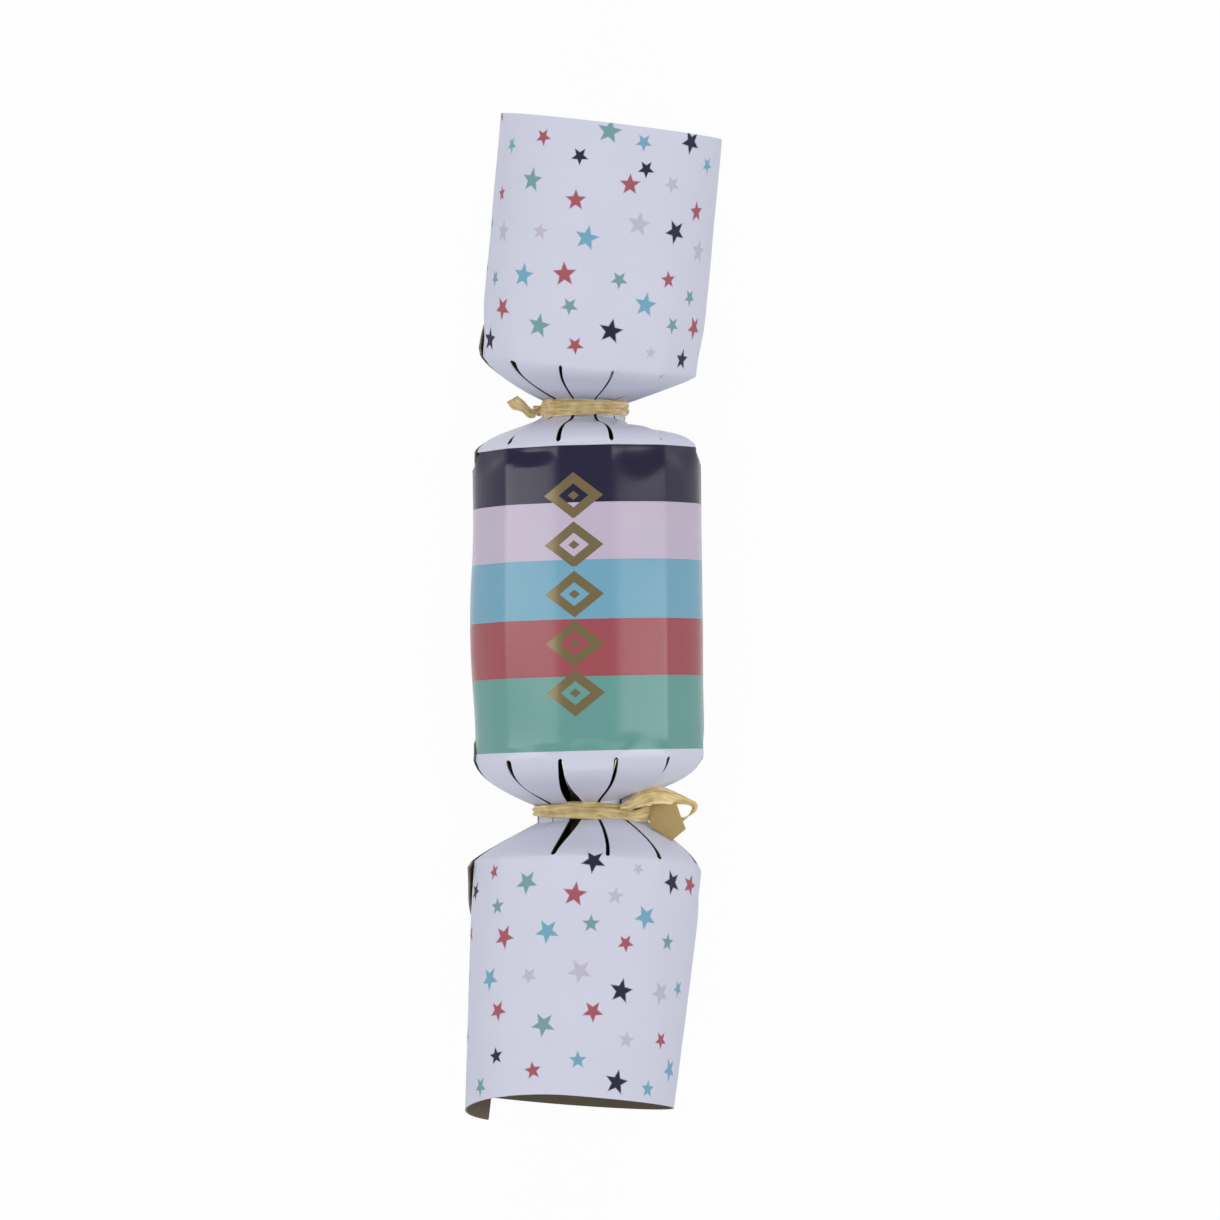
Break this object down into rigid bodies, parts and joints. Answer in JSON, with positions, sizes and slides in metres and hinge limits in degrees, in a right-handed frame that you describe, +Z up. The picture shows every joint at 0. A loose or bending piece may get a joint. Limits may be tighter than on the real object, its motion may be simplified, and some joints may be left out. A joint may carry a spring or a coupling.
{
  "type": "party cracker",
  "caption": "Pull-apart party cracker: a card tube with slit necks tied in ribbon and open rolled tails, holding a friction snap, a folded paper crown, a motto slip and a spinning top.",
  "frame": {"origin": "middle of the flat barrel panel that the cracker lies on", "axes": "+Y along the barrel towards the top tail, +Z up from the table, +X to the right in the picture"},
  "size_m": [0.058, 0.2249, 0.0561],
  "materials": {
    "barrel_card": "printed card, satin",
    "white_card": "printed card, satin",
    "seam_tape": "clear tape",
    "ribbon": "gold satin ribbon",
    "snap_card": "plain kraft card",
    "snap_sleeve": "thin uncoated paper",
    "snap_patch": "gritty dark coat",
    "tissue": "tissue paper",
    "motto_paper": "uncoated paper",
    "top_paint": "painted wood",
    "top_wood": "plain turned wood"
  },
  "bodies": {
    "barrel": {"barrel_wrap": "barrel_card", "seam_tape": "seam_tape", "top_shoulder_strips": "white_card", "bottom_shoulder_strips": "white_card"},
    "top_tie": {"top_ribbon_turns": "ribbon", "top_ribbon_knot": "ribbon", "top_ribbon_ends": "ribbon", "snap_top_strip": "snap_card", "snap_striker_patch": "snap_patch"},
    "top_tail": {"top_tail_wrap": "white_card", "top_tail_strips": "white_card"},
    "bottom_tie": {"bottom_ribbon_turns": "ribbon", "bottom_ribbon_knot": "ribbon", "bottom_ribbon_loop": "ribbon", "bottom_ribbon_end": "ribbon", "snap_bottom_strip": "snap_card", "snap_compound_patch": "snap_patch", "snap_sleeve": "snap_sleeve"},
    "bottom_tail": {"bottom_tail_wrap": "white_card", "bottom_tail_strips": "white_card"},
    "hat": {"paper_hat": "tissue"},
    "motto": {"motto_slip": "motto_paper"},
    "gift": {"spinning_top_disc": "top_paint", "spinning_top_peg": "top_wood"}
  },
  "joints": [
    {"name": "top_pull", "type": "slide", "parent": "barrel", "child": "top_tie", "axis": [0, 1, 0], "range_m": [0, 0.075]},
    {"name": "top_lean", "type": "hinge", "parent": "top_tie", "child": "top_tail", "pos_m": [0, 0.045, 0.02511], "axis": [0, 0, 1], "range_deg": [-2.8, 13.2], "deforming": ["top_tail_strips"]},
    {"name": "bottom_pull", "type": "slide", "parent": "barrel", "child": "bottom_tie", "axis": [0, -1, 0], "range_m": [0, 0.075]},
    {"name": "bottom_lean", "type": "hinge", "parent": "bottom_tie", "child": "bottom_tail", "pos_m": [0, -0.045, 0.02511], "axis": [0, 0, 1], "range_deg": [-4, 12], "deforming": ["bottom_tail_strips"]},
    {"name": "hat_slide", "type": "slide", "parent": "barrel", "child": "hat", "axis": [0, 1, 0], "range_m": [-0.005, 0.005]},
    {"name": "motto_slide", "type": "slide", "parent": "barrel", "child": "motto", "axis": [0, 1, 0], "range_m": [-0.012, 0.012]},
    {"name": "gift_slide", "type": "slide", "parent": "barrel", "child": "gift", "axis": [0, 1, 0], "range_m": [-0.028, 0.015]}
  ]
}
